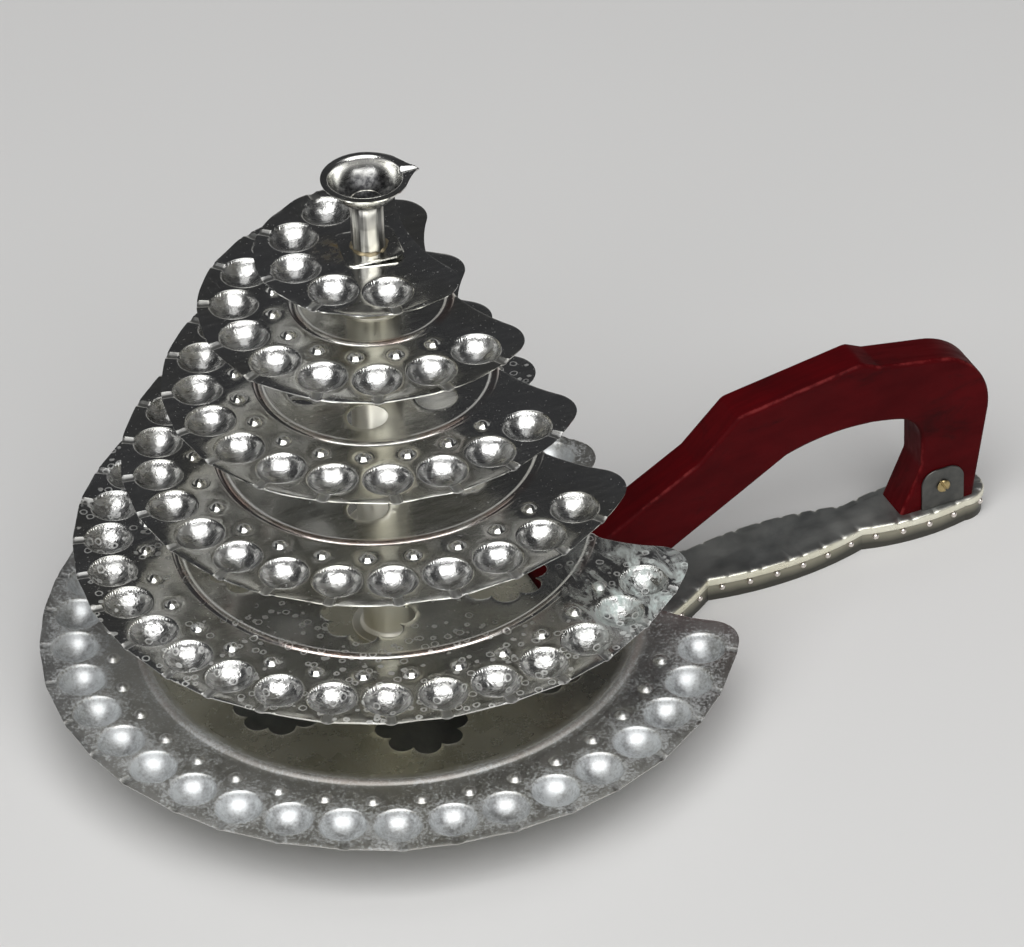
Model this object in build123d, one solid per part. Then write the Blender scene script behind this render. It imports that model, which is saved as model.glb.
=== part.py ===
"""Tiered aarti lamp.

Six pressed lamp plates stand on tubular columns, clamped by one tie rod. A crown lamp screws
onto the top of the rod, and a wooden handle stands on the scalloped tail of the base plate.
Millimetres, +Z up, +X from the stack towards the handle, the floor at Z = 0.
The origin is the middle of the footprint, so the stack's axis lies at X = stack_x.
"""
import os
from math import acos, asin, cos, degrees, radians, sin, sqrt

from build123d import *

# Lamp plates, the lowest first
sheet = 1.0
cup_circles = (150.0, 130.0, 104.3, 82.7, 63.4, 36.2)
bay_depths = (103.0, 67.0, 55.2, 49.3, 34.0, 20.6)
bay_radius = 84.0
corner_radius = 15.0

# Cups, with the spout that runs from each cup to the edge of its plate
cup_radius = 11.25
cup_depth = 8.5
cup_gap = 2.9
cup_land = 8.0
edge_lip = 6.25
spout_width = 4.5
spout_setback = 0.2

# Small domes between the cups, and the raised ring bead of the lower five plates
dome_radius = 3.25
dome_height = 2.2
dome_gap = 2.8
bead_gaps = (8.0, 9.4, 6.3, 5.2, 4.9)
bead_width = 4.5
bead_height = 1.6

# Cut-outs in the discs of the lower four plates: flowers below, round holes above
cutout_circles = (79.0, 67.0, 49.0, 34.0)
cutout_steps = (7, 6, 6, 6)
flower_plates = 2
flower_reach = 22.0
petal_radius = 6.5
petal_count = 8
hole_radius = 9.5

# Columns, the lowest first
column_heights = (21.0, 57.0, 46.5, 40.5, 41.0, 27.5)
column_radius = 12.5
column_wall = 1.5
foot_radius = 18.0
foot_sheet = 1.2

# Tie rod and its nuts
rod_radius = 3.0
rod_clearance = 0.2
nut_flats = 10.0
nut_height = 5.0
washer_radius = 9.0
washer_sheet = 1.6
rod_tail = 2.0

# Base plate, its turned-down lip, the skirt inside the lip and the beads on the skirt
base_radius = 112.0
base_height = 14.0
base_sheet = 1.5
lip_depth = 4.5
lip_wall = 1.2
skirt_wall = 1.5
stud_radius = 1.7
stud_spacing = 16.0
stud_drop = 0.5

# Tail of the base: three scallops on each side, with ledges beside the handle
root_start_ledge = 31.1
root_crown = 0.62
root_ledge = 16.5
first_cusp_ledge = 3.0
long_lobe = 84.7
long_ledge = 7.0
second_cusp_ledge = 0.5
end_lobe = 71.0
end_ledge = 5.0
shoulder_run = 15.0
shoulder_ledge = 2.5
tail_overhang = 8.0

# Handle: runs along X from the stack's axis, heights from the top of the base plate
handle_width = 21.0
handle_edge = 2.0
handle_bend = 6.0
toe_front = 75.3
toe_length = 29.7
toe_height = 22.0
neck_run = 83.7
neck_height = 68.0
rise_run = 22.0
rise_height = 89.0
crest_run = 66.0
crest_height = 98.5
step_run = 9.0
step_drop = 4.5
back_run = 32.0
back_drop = 6.0
rear_run = 28.0
rear_drop = 38.0
knuckle_out = 0.72
knuckle_down = 0.3
heel_tuck = 8.0
heel_length = 40.0
shin_run = 11.5
shin_height = 26.0
crook_height = 42.0
arch_setback = 12.5
arch_rear_height = 58.5
arch_run = 101.0
arch_front_height = 57.5
slot_clearance = 1.5

# Heel bracket: a strap under the rear foot with a tab up each side of it
strap_sheet = 1.2
tab_length = 23.0
tab_inset = 6.0
tab_height = 22.0
tab_corner = 8.0
tab_screw_height = 12.0

# Wood screws
screw_radius = 1.75
screw_clearance = 0.05
screw_head_radius = 3.5
screw_head_height = 2.2
screw_bite = 16.0
tab_screw_bite = 9.0
toe_screw_inset = 8.0
heel_screw_inset = 5.0

# Crown lamp, with its post, flange and bush
crown_radius = 18.3
crown_depth = 14.0
crown_flange = 2.2
crown_tip = 26.0
crown_groove = 3.6
groove_tip = 1.0
post_radius = 7.8
post_wall = 0.8
post_height = 24.6
flange_side = 27.0
flange_corner = 6.0
flange_sheet = 1.0
flange_lift = 0.3
flange_bore_gap = 0.8
bush_height = 10.0
bush_drop = 12.0
thread_clearance = 0.05
braze_gap = 0.05
crown_turn = -9.0

# Heights and radii that follow from the sizes above
edge_radii = [circle + cup_radius + edge_lip for circle in cup_circles]
toe_rear = toe_front + toe_length
neck_x = toe_front + neck_run
rise_x = neck_x + rise_run
crest_x = rise_x + crest_run
step_x = crest_x + step_run
step_height = crest_height - step_drop
back_x = step_x + back_run
back_height = step_height - back_drop
rear_x = back_x + rear_run
rear_height = back_height - rear_drop
heel_rear = rear_x - heel_tuck
heel_front = heel_rear - heel_length
tab_rear = heel_rear - tab_inset
tab_front = tab_rear - tab_length
tail_end = heel_rear + tail_overhang + stud_radius
stack_x = (edge_radii[0] - tail_end) / 2
plate_tops = []
column_feet = []
level = base_height
for column_height in column_heights:
    column_feet.append(level)
    level += column_height + sheet
    plate_tops.append(level)
stack_top = plate_tops[-1]
nut_corner = nut_flats / 2 / cos(radians(30))
base_bottom = base_height - base_sheet
half_handle = handle_width / 2
heel_foot = base_height + strap_sheet
ball_radius = (cup_radius**2 + cup_depth**2) / (2 * cup_depth)
crown_ball = (crown_radius**2 + crown_depth**2) / (2 * crown_depth)
post_foot = stack_top + flange_lift + flange_sheet
crown_top = post_foot + post_height + crown_depth - sheet / 2
crown_centre = crown_top + crown_ball - crown_depth
seat_drop = sqrt((crown_ball + sheet) ** 2 - post_radius**2)
bush_foot = crown_centre - (crown_ball + sheet) - bush_drop
rod_top = bush_foot + bush_height - rod_clearance
rod_foot = base_bottom - washer_sheet - nut_height - rod_tail


def stacked(x, y=0.0, z=0.0):
    """A place given from the stack's axis."""
    return Pos(stack_x + x, y, z)


def cap(radius, flat, below=True):
    """The part of a ball on one side of the level plane at the height flat above its middle."""
    angle = degrees(asin(flat / radius))
    if below:
        return Sphere(radius, -90, angle, align=Align.NONE)
    return Sphere(radius, angle, 90, align=Align.NONE)


def spout_bar(radius, start, end):
    """A round bar along X from start to end."""
    return Pos((start + end) / 2, 0, 0) * (Rot(0, 90, 0) * Cylinder(radius, end - start))


def cup_tools():
    """The metal that one cup and its spout add under a plate, and the hollow they leave.

    The cup's middle is the origin, the top of the plate is Z = 0 and the spout runs along +X.
    """
    rise = ball_radius - cup_depth
    reach = cup_radius + edge_lip
    bowl = Pos(0, 0, rise) * cap(ball_radius + sheet, -rise - sheet / 2)
    trough = spout_bar(spout_width / 2 + sheet, cup_radius - sheet, reach - spout_setback)
    deep = spout_width + 4 * sheet
    trough -= Pos(reach / 2, 0, deep / 2 - sheet / 2) * Box(2 * reach, deep, deep)
    hollow = Pos(0, 0, rise) * Sphere(ball_radius)
    hollow += spout_bar(spout_width / 2, 0, reach + spout_width)
    return bowl + trough, hollow


def dome_tools():
    """The metal that one small dome adds on top of a plate, and the hollow under it."""
    ball = (dome_radius**2 + dome_height**2) / (2 * dome_height)
    sink = ball - dome_height
    crust = Pos(0, 0, -sink) * cap(ball, sink - sheet / 2, below=False)
    hollow = Pos(0, 0, -sink) * Sphere(ball - sheet)
    return crust, hollow


def bead_tools(circle):
    """The raised ring of a plate's bead, and the groove under it."""
    ball = ((bead_width / 2) ** 2 + bead_height**2) / (2 * bead_height)
    sink = ball - bead_height
    profile = Pos(circle, -sink) * Circle(ball)
    profile -= Pos(circle, -sheet / 2 - ball) * Rectangle(4 * ball, 2 * ball)
    ridge = revolve(Plane.XZ * profile, Axis.Z)
    groove = Pos(0, 0, -sink) * Torus(circle, ball - sheet)
    return ridge, groove


def flower():
    """A round flower whose petals overlap into cusps."""
    ring = flower_reach - petal_radius
    shape = Circle(ring)
    return shape + [loc * Circle(petal_radius) for loc in PolarLocations(ring, petal_count)]


def plate_outline(index):
    """A disc with the bay at the back, its two corners rounded."""
    edge = edge_radii[index]
    outline = Circle(edge) - Pos(bay_depths[index] + bay_radius, 0) * Circle(bay_radius)
    return fillet(outline.vertices(), corner_radius)


def bay_corner(index):
    """The angle from +X at which the bay meets the edge of a plate."""
    edge = edge_radii[index]
    away = bay_depths[index] + bay_radius
    return degrees(acos((edge**2 - bay_radius**2 + away**2) / (2 * away * edge)))


def cup_angles(index):
    """Cups at an even spacing, the middle one facing away from the handle, as many as fit."""
    circle = cup_circles[index]
    pitch = degrees((2 * cup_radius + cup_gap) / circle)
    margin = degrees((cup_radius + cup_land) / circle)
    each_side = int((180 - bay_corner(index) - margin) / pitch)
    return [180 + pitch * step for step in range(-each_side, each_side + 1)]


def cutouts(index):
    """The flowers or round holes of a plate, none of them towards the handle."""
    steps = cutout_steps[index]
    shape = flower() if index < flower_plates else Circle(hole_radius)
    angles = [360 / steps * step for step in range(1, steps)]
    return [Rot(0, 0, angle) * Pos(cutout_circles[index], 0) * shape for angle in angles]


def lamp_plate(index):
    """One pressed lamp plate, its top at its own height in the stack."""
    outline = plate_outline(index)
    blank = outline - Circle(rod_radius + rod_clearance)
    if index < len(cutout_circles):
        blank -= cutouts(index)
    if index == 0:
        front = toe_front - slot_clearance
        length = bay_depths[0] + bay_radius - front
        blank -= Pos(front + length / 2, 0) * Rectangle(length, handle_width + 2 * slot_clearance)
    plate = Pos(0, 0, -sheet) * extrude(blank, sheet)

    angles = cup_angles(index)
    bowl, bowl_hollow = cup_tools()
    dome, dome_hollow = dome_tools()
    cup_places = [Rot(0, 0, angle) * Pos(cup_circles[index], 0, 0) for angle in angles]
    dome_circle = cup_circles[index] - cup_radius - dome_gap - dome_radius
    between = [(left + right) / 2 for left, right in zip(angles, angles[1:])]
    dome_places = [Rot(0, 0, angle) * Pos(dome_circle, 0, 0) for angle in between]
    added = [place * bowl for place in cup_places]
    hollows = [place * bowl_hollow for place in cup_places]
    if index < len(bead_gaps):
        added += [place * dome for place in dome_places]
        hollows += [place * dome_hollow for place in dome_places]
        circle = dome_circle - dome_radius - bead_gaps[index] - bead_width / 2
        ridge, groove = bead_tools(circle)
        within = Pos(0, 0, -bead_width) * extrude(outline, 2 * bead_width)
        added.append(ridge & within)
        hollows.append(groove)
    plate = plate.fuse(*added).cut(*hollows)
    return stacked(0, 0, plate_tops[index]) * plate


def column(index):
    """A tube that carries one plate, with a foot flange."""
    height = column_heights[index]
    tube = Cylinder(column_radius, height) + Pos(0, 0, (foot_sheet - height) / 2) * Cylinder(
        foot_radius, foot_sheet
    )
    tube -= Cylinder(column_radius - column_wall, height)
    return stacked(0, 0, column_feet[index] + height / 2) * tube


def upright(radius, low, high, x=0.0, y=0.0):
    """A round bar along Z between two heights."""
    return stacked(x, y, (low + high) / 2) * Cylinder(radius, high - low)


def hex_nut(low):
    """A nut on the tie rod, standing at the height low."""
    nut = extrude(RegularPolygon(nut_corner, 6), nut_height) - Cylinder(rod_radius, 4 * nut_height)
    return stacked(0, 0, low) * nut


def base_outline(inset=0.0):
    """The base seen from above, drawn from the stack's axis: a disc with a scalloped tail."""

    def side(sign):
        root_y = half_handle + root_start_ledge
        root_x = sqrt(base_radius**2 - root_y**2)
        second_cusp = tail_end - end_lobe
        first_cusp = second_cusp - long_lobe
        shoulder = tail_end - shoulder_run
        points = [
            (root_x, root_y),
            (root_x + root_crown * (first_cusp - root_x), half_handle + root_ledge),
            (first_cusp, half_handle + first_cusp_ledge),
            ((first_cusp + second_cusp) / 2, half_handle + long_ledge),
            (second_cusp, half_handle + second_cusp_ledge),
            ((second_cusp + shoulder) / 2, half_handle + end_ledge),
            (shoulder, half_handle + shoulder_ledge),
        ]
        return [(x, sign * y) for x, y in points]

    near, far = side(-1), side(1)
    edges = [ThreePointArc(near[0], (-base_radius, 0), far[0])]
    for line in (near, far):
        edges += [ThreePointArc(*line[start : start + 3]) for start in (0, 2, 4)]
    edges.append(ThreePointArc(near[-1], (tail_end, 0), far[-1]))
    outline = make_face(edges)
    if inset:
        outline = offset(outline, -inset, kind=Kind.INTERSECTION)
    return outline


def screw_places():
    """Where the wood screws come up through the base: the toe's pair, then the heel's pair."""
    toe = [toe_front + toe_screw_inset, toe_rear - toe_screw_inset]
    heel = [tab_front + heel_screw_inset, tab_rear - heel_screw_inset]
    return toe, heel


def base_plate():
    """The flat top of the base with its turned-down lip and the holes for rod and screws."""
    plate = extrude(base_outline(), base_sheet)
    lip = extrude(base_outline() - base_outline(lip_wall), lip_depth)
    plate = Pos(0, 0, base_bottom) * plate + Pos(0, 0, base_height - lip_depth) * lip
    plate = stacked(0) * plate
    plate -= upright(rod_radius + rod_clearance, 0, 2 * base_height)
    toe, heel = screw_places()
    for x in toe + heel:
        plate -= upright(screw_radius + screw_clearance, 0, 2 * base_height, x)
    return plate


def base_skirt():
    """The upright strip inside the lip, which stands on the floor."""
    ring = base_outline(lip_wall) - base_outline(lip_wall + skirt_wall)
    return stacked(0) * extrude(ring, base_bottom)


def skirt_studs():
    """Round beads along the outside of the skirt, an even number of them on each scallop."""
    height = base_height - lip_depth - stud_drop - stud_radius
    inside = base_outline(lip_wall)
    core = extrude(inside, base_bottom)
    studs = []
    for edge in inside.face().outer_wire().edges():
        count = 2 * max(1, round(edge.length / stud_spacing / 2))
        for step in range(count):
            spot = edge.position_at((step + 0.5) / count)
            studs.append(stacked(0) * (Pos(spot.X, spot.Y, height) * Sphere(stud_radius) - core))
    return Compound(children=studs)


def handle_profile():
    """The handle seen from the side, drawn from the stack's axis and the top of the base."""
    shin = (heel_front + shin_run, shin_height)
    crook = (shin[0], crook_height)
    arch_rear = (shin[0] - arch_setback, arch_rear_height)
    arch_front = (toe_rear + arch_run, arch_front_height)
    back = (back_x, back_height)
    knuckle = (back_x + knuckle_out * rear_run, back_height - knuckle_down * rear_drop)
    rear = (rear_x, rear_height)
    upper = [(toe_front, toe_height), (neck_x, neck_height), (rise_x, rise_height)]
    upper += [(crest_x, crest_height), (step_x, step_height), back]
    crook_arc = TangentArc(crook, arch_rear, tangent=(0, 1))
    profile = make_face(
        [
            Polyline(arch_front, (toe_rear, 0), (toe_front, 0), *upper),
            ThreePointArc(back, knuckle, rear),
            Polyline(rear, (heel_rear, 0), (heel_front, 0), shin, crook),
            crook_arc,
            TangentArc(arch_rear, arch_front, tangent=crook_arc % 1),
        ]
    )
    bends = [*upper, rear, shin, arch_front]
    return fillet([profile.vertices().sort_by_distance(bend)[0] for bend in bends], handle_bend)


def handle():
    """The wooden handle, its long edges eased, with a rebate for the strap and holes for screws."""
    profile = handle_profile()
    body = extrude(Plane.XZ * profile, half_handle, both=True)
    sides = body.faces().filter_by(Axis.Y).edges()
    body = fillet([edge for edge in sides if edge.center().Z > handle_edge], handle_edge)
    body = stacked(0, 0, base_height) * body - strap()
    toe, heel = screw_places()
    hole = screw_radius + screw_clearance
    for x in toe:
        body -= upright(hole, base_height - screw_bite, base_height + screw_bite + screw_clearance, x)
    for x in heel:
        body -= upright(hole, heel_foot - screw_bite, heel_foot + screw_bite + screw_clearance, x)
    for sign in (-1, 1):
        body -= tab_screw(sign, hole, tab_screw_bite + screw_clearance)
    return body


def tab_bar(sign, radius, inner, outer):
    """A round bar along Y through one tab's screw hole, between two distances from the middle."""
    middle = sign * (inner + outer) / 2
    place = stacked((tab_front + tab_rear) / 2, middle, base_height + tab_screw_height)
    return place * (Rot(90, 0, 0) * Cylinder(radius, outer - inner))


def tab_screw(sign, radius, bite):
    """The shank of a tab's screw, from its tip in the wood to the outside of the tab."""
    return tab_bar(sign, radius, half_handle - bite, half_handle + strap_sheet)


def strap():
    """The flat part of the heel bracket, let into the foot of the heel."""
    width = handle_width + 2 * strap_sheet
    place = stacked((tab_front + tab_rear) / 2, 0, base_height + strap_sheet / 2)
    return place * Box(tab_length, width, strap_sheet)


def heel_bracket():
    """A strap under the heel with a tab up each side."""
    middle = (tab_front + tab_rear) / 2
    bracket = strap()
    tab = Plane.XZ * (Pos(0, tab_height / 2) * Rectangle(tab_length, tab_height))
    tab = extrude(tab, strap_sheet)
    top_edges = tab.edges().filter_by(Axis.Y).group_by(Axis.Z)[-1]
    tab = fillet(top_edges, tab_corner)
    for y in (-half_handle, half_handle + strap_sheet):
        bracket += stacked(middle, y, base_height) * tab
    toe, heel = screw_places()
    for x in heel:
        bracket -= upright(screw_radius + screw_clearance, 0, 2 * base_height, x)
    for sign in (-1, 1):
        bracket -= tab_screw(sign, screw_radius + screw_clearance, tab_screw_bite)
    return bracket


def bracket_screws():
    """One round-headed wood screw through each tab."""
    screws = []
    for sign in (-1, 1):
        shank = tab_screw(sign, screw_radius, tab_screw_bite)
        face = half_handle + strap_sheet
        head = tab_bar(sign, screw_head_radius, face, face + screw_head_height)
        screws.append(shank + head)
    return Compound(children=screws)


def floor_screws(places, foot):
    """Wood screws up through the base into a foot of the handle that starts at the height foot."""
    screws = []
    for x in places:
        shank = upright(screw_radius, base_bottom, foot + screw_bite, x)
        head = upright(screw_head_radius, base_bottom - screw_head_height, base_bottom, x)
        screws.append(shank + head)
    return Compound(children=screws)


def crowned(shape):
    """A crown piece drawn on the stack's axis with its spout along +X, turned as it stands."""
    return stacked(0) * Rot(0, 0, crown_turn) * shape


def leaf():
    """The crown lamp's flange: a disc drawn out to a point."""
    disc = crown_radius + crown_flange
    angle = acos(disc / crown_tip)
    touch = (disc * cos(angle), disc * sin(angle))
    point = make_face(Polyline((0, 0), touch, (crown_tip, 0), (touch[0], -touch[1]), close=True))
    return Circle(disc) + point


def groove_cone(grow, length):
    """The crown spout's groove along +X, from the bowl to the tip, grown by a wall."""
    start = crown_radius - crown_groove
    cone = Cone(crown_groove + grow, groove_tip + grow, length)
    return Pos(start + length / 2, 0, 0) * (Rot(0, 90, 0) * cone)


def crown_lamp():
    """The crown's bowl, leaf-shaped flange and spout, all of one sheet."""
    rise = crown_ball - crown_depth
    length = crown_tip - crown_radius + crown_groove
    lamp = Pos(0, 0, -sheet) * extrude(leaf(), sheet)
    bowl = Pos(0, 0, rise) * cap(crown_ball + sheet, -rise - sheet / 2)
    trough = groove_cone(sheet, length)
    trough -= Pos(0, 0, crown_tip - sheet / 2) * Box(4 * crown_tip, 2 * crown_tip, 2 * crown_tip)
    within = Pos(0, 0, -crown_tip) * extrude(leaf(), crown_tip)
    lamp = lamp.fuse(bowl, trough & within)
    lamp = lamp.cut(Pos(0, 0, rise) * Sphere(crown_ball), groove_cone(0, length + groove_tip))
    return crowned(Pos(0, 0, crown_top) * lamp)


def crown_post():
    """The tube under the bowl, its top shaped to the bowl's underside."""
    high = crown_centre - seat_drop + post_radius
    post = Pos(0, 0, (post_foot + high) / 2) * Cylinder(post_radius, high - post_foot)
    post -= Pos(0, 0, post_foot) * Cylinder(post_radius - post_wall, 4 * post_height)
    post -= Pos(0, 0, crown_centre) * Sphere(crown_ball + sheet + braze_gap)
    return crowned(post)


def crown_flange_plate():
    """The thin plate with rounded corners that the post stands on."""
    shape = RectangleRounded(flange_side, flange_side, flange_corner)
    shape -= Circle(post_radius - post_wall - flange_bore_gap)
    return crowned(Pos(0, 0, post_foot - flange_sheet) * extrude(shape, flange_sheet))


def crown_bush():
    """The threaded bush in the top of the post, which turns on the tie rod."""
    bush = Cylinder(post_radius - post_wall, bush_height)
    bush -= Cylinder(rod_radius + thread_clearance, bush_height)
    return crowned(Pos(0, 0, bush_foot + bush_height / 2) * bush)


def washer():
    """The washer under the base plate."""
    ring = Cylinder(washer_radius, washer_sheet) - Cylinder(rod_radius + rod_clearance, washer_sheet)
    return stacked(0, 0, base_bottom - washer_sheet / 2) * ring


def pieces():
    """Every piece of the lamp, by name."""
    toe, heel = screw_places()
    made = {
        "base_plate": base_plate(),
        "base_skirt": base_skirt(),
        "skirt_studs": skirt_studs(),
    }
    for index in range(len(cup_circles)):
        made[f"column_{index + 1}"] = column(index)
        made[f"lamp_plate_{index + 1}"] = lamp_plate(index)
    made |= {
        "tie_rod": upright(rod_radius, rod_foot, rod_top),
        "bottom_washer": washer(),
        "bottom_nut": hex_nut(base_bottom - washer_sheet - nut_height),
        "top_nut": hex_nut(stack_top),
        "crown_flange": crown_flange_plate(),
        "crown_post": crown_post(),
        "crown_bush": crown_bush(),
        "crown_lamp": crown_lamp(),
        "handle": handle(),
        "heel_bracket": heel_bracket(),
        "bracket_screws": bracket_screws(),
        "toe_screws": floor_screws(toe, base_height),
        "heel_screws": floor_screws(heel, heel_foot),
    }
    return made


os.makedirs("parts", exist_ok=True)
for name, shape in pieces().items():
    export_step(shape, f"parts/{name}.step")
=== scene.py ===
from math import acos, atan2, cos, pi, radians, sin, sqrt

import bmesh
import bpy
import numpy as np
from mathutils import Matrix, Vector
from mathutils.geometry import delaunay_2d_cdt

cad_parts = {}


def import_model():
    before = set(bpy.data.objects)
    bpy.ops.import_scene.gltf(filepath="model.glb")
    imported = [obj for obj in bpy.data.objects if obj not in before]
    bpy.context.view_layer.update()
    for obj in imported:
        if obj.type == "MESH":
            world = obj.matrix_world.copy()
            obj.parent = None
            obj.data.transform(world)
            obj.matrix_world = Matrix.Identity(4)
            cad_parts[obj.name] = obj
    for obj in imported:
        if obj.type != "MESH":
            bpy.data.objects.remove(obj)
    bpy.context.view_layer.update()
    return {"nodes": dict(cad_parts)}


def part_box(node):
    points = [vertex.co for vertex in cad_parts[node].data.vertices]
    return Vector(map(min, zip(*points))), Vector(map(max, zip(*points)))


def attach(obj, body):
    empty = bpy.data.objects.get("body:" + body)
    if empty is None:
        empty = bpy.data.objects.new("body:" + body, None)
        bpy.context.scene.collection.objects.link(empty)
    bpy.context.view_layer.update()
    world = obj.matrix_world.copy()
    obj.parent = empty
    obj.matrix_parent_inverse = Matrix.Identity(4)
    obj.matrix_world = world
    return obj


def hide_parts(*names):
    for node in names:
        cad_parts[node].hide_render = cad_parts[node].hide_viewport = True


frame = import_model()

# Sizes are in millimetres, and meshes are written in metres
MM = 0.001

# Pressed lamp plates
sheet = 1.0
shown_sheet = 0.65
edge_inset = 0.5
cup_radius = 11.25
cup_depth = 8.5
shallow_cup = 0.93
cup_pitch = 25.4
cup_counts = (31, 25, 19, 15, 11, 5)
edge_lip = 6.25
spout_width = 3.8
spout_depth = 0.75
frosted_spout_depth = 0.42
spout_lean = 11.0
dome_radius = 3.25
dome_height = 2.2
dome_inset = 17.3
bead_circles = (119.3, 98.5, 75.3, 54.8, 35.8)
bead_width = 4.5
bead_height = 1.35
bay_depths = (103.0, 67.0, 55.2, 49.3, 34.0, 20.6)
bay_radius = 84.0
corner_radius = 15.0
slot_front = 73.8
slot_width = 24.0
rod_hole = 3.2
cutout_circles = (79.0, 67.0, 49.0, 34.0)
cutout_steps = (7, 6, 6, 6)
flower_plates = 2
flower_ring = 15.5
petal_radius = 6.5
petal_count = 8
hole_radius = 9.5

# Softness of the pressing, and how far the hand-worked sheets stray from true
cup_rim = 0.8
dome_rim = 0.35
spout_rim = 0.7
rim_settle = 40
ridge_height = 0.1
ridge_offset = 2.9
ridge_width = 0.7
ridge_run = 2
moat_depth = 0.22
moat_offset = 0.8
moat_width = 0.7
raised_fade = (0.3, 1.0)
edge_sag = 0.5
edge_roll = 0.22
roll_width = 0.95
edge_wave = 0.4
edge_waves = ((9, 1.0), (14, 1.0), (23, 0.6))
wave_band = 8
ripple_height = 0.06

# Where the marks of wear and use fade out, and where two of them lie on their plates
cup_fade = (1.0, 8.0)
cup_edge = (0.95, 0.995)
spout_fade = (1.3, 3.0)
wear_offset = 0.9
wear_width = 1.5
soot_fade = (4.0, 0.5)
deposit_spot = (90, -97)
flux_spot = (-14, 5.5)

# Mesh points: their spacing, the rings and rows of the pressed forms, and what is kept clear for them
edge_step = 1.6
corner_step = 1.2
hole_step = 1.0
spout_step = 0.45
spout_reach = 4.4
slot_points = 9
cup_step = 1.4
dome_step = 0.9
bead_step = 1.7
run_step = 0.9
plain_start = 8
plain_step = 4.2
crown_step = 0.9
base_step = 7
cup_rings = (2, 4, 6, 7.6, 8.9, 9.8, 10.4, 10.9, 11.3, 11.7, 12.2)
dome_rings = (1.0, 1.8, 2.4, 2.8, 3.1, 3.4, 3.7, 4.1, 4.6, 5.2)
crown_rings = (2, 4, 6, 8, 10, 12, 13.4, 14.5, 15.3, 15.9, 16.4, 16.8, 17.2, 17.7, 18.4, 19.2)
spout_rows = (0, 0.8, 1.4, 1.8, 2.1, 2.5, 2.9, 3.4, 4.0, 4.7)
bead_rows = (0, 0.8, 1.5, 2.0, 2.4, 2.8, 3.4, 4.2)
spout_start = 9.6
spout_clear = (9.2, 22)
strip_clear = 5.2
cup_clear = 13.4
dome_clear = 6.4
tip_start, tip_end, tip_half, tip_step = 13.0, 26.0, 5.0, 0.5

# Columns
column_bore = 11.0
column_radius = 12.5
foot_sheet = 1.2
fillet_foot = (14.0, 1.25)
fillet_top = 3.0

# Crown lamp, its post and its flange
crown_radius = 16.9
crown_depth = 14.0
crown_rim = 20.4
crown_tip = 25.4
crown_sheet = 0.8
crown_settle = 0.3
bowl_rim = 0.9
bowl_settle = 0.02
flank_hollow = 0.6
groove_start = 2.7
groove_end = 0.8
groove_depth = 0.8
groove_flank = 1.8
groove_rim = 0.2
groove_inner = 4
crown_turn = -9.0
post_radius = 7.8
post_facets = 11
post_steps = 132
post_drop = 12.6
post_waist = 0.12
flat_share = 0.65
seam_turns = (195, 199, 205)
seam_step = 0.25
flange_side = 27.0
flange_corner = 4.0
flange_lift = 1.3
flange_settle = 0.12
lift_span = (9.0, 17.5)
braze_steps = 90
braze_size = 1.2
braze_lumps = ((3, 0.5, 1.0), (7, 0.35, 0.4), (13, 0.2, 0.0))
braze_profile = ((-1.0, -0.3), (1.0, -0.3), (0.85, 0.15), (0.45, 0.45), (0.12, 0.9), (-1.0, 0.9))

# Base plate with its scalloped tail and crimped edge
tail_root = 41.6
root_crown = 0.62
root_ledge = 27.0
first_cusp = 13.5
long_lobe = 84.7
long_ledge = 17.5
second_cusp = 11.0
end_lobe = 71.0
end_ledge = 15.5
shoulder_run = 15.0
shoulder = 13.0
base_sheet = 1.5
lip_depth = 4.5
lip_wall = 1.2
crimp_pitch = 10.5
crimp_width = 1.1
crimp_stray = 2.5
shallow_crimp = 0.4
base_reach = 330

# Screws of the heel bracket
head_radius = 3.5
head_height = 2.1
slot_half = 0.45
slot_depth = 0.9
slot_rows = (-0.55, -0.4, 0.4, 0.55)
screw_turns = ((-1, 0.5), (1, 2.1))

# Camera, from the photograph: its place from the stack's axis at the floor, and how it is turned
view_turn = -21.5
camera_back = 2335.8
camera_height = 1880.3
camera_yaw = 1.4945
camera_pitch = 36.99
camera_roll = -2.344
camera_lens = 219.5

# Marks of wear and use, as linear red, green and blue
copper = (0.60, 0.40, 0.34)
flux_brown = (0.42, 0.31, 0.14)
soot_black = (0.022, 0.022, 0.024)
drop_white = (0.92, 0.92, 0.9)
deposit_green = (0.52, 0.60, 0.575)

# Fittings: colour, worn colour, roughness and seed
fittings = {
    "braze": ((0.36, 0.30, 0.19), (0.24, 0.21, 0.15), 0.45, 18.0),
    "stud_metal": ((0.86, 0.80, 0.75), (0.72, 0.66, 0.60), 0.22, 6.0),
    "bracket_metal": ((0.10, 0.1015, 0.0985), (0.15, 0.15, 0.14), 0.42, 7.0),
    "fixing_brass": ((0.50, 0.39, 0.19), (0.30, 0.24, 0.13), 0.28, 8.0),
    "fixing_steel": ((0.50, 0.50, 0.51), (0.42, 0.42, 0.42), 0.28, 9.0),
}

# Studio
floor_half = 9000.0
aim_height = 120.0


def node_box(node):
    """The lowest and highest corner of a CAD node, in millimetres."""
    low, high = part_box(node)
    return np.array(low) / MM, np.array(high) / MM


rod_low, rod_high = node_box("tie_rod")
stack_x = (rod_low[0] + rod_high[0]) / 2
plate_names = [f"lamp_plate_{number}" for number in range(1, 7)]
column_names = [f"column_{number}" for number in range(1, 7)]
edge_radii = [(node_box(name)[1][1] - node_box(name)[0][1]) / 2 for name in plate_names]
plate_tops = [node_box(name)[1][2] + sheet for name in column_names]
crown_top = node_box("crown_lamp")[1][2]


# Meshes

def new_object(name, data):
    """An object in the scene from its mesh, light or camera."""
    piece = bpy.data.objects.new(name, data)
    bpy.context.scene.collection.objects.link(piece)
    return piece


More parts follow.
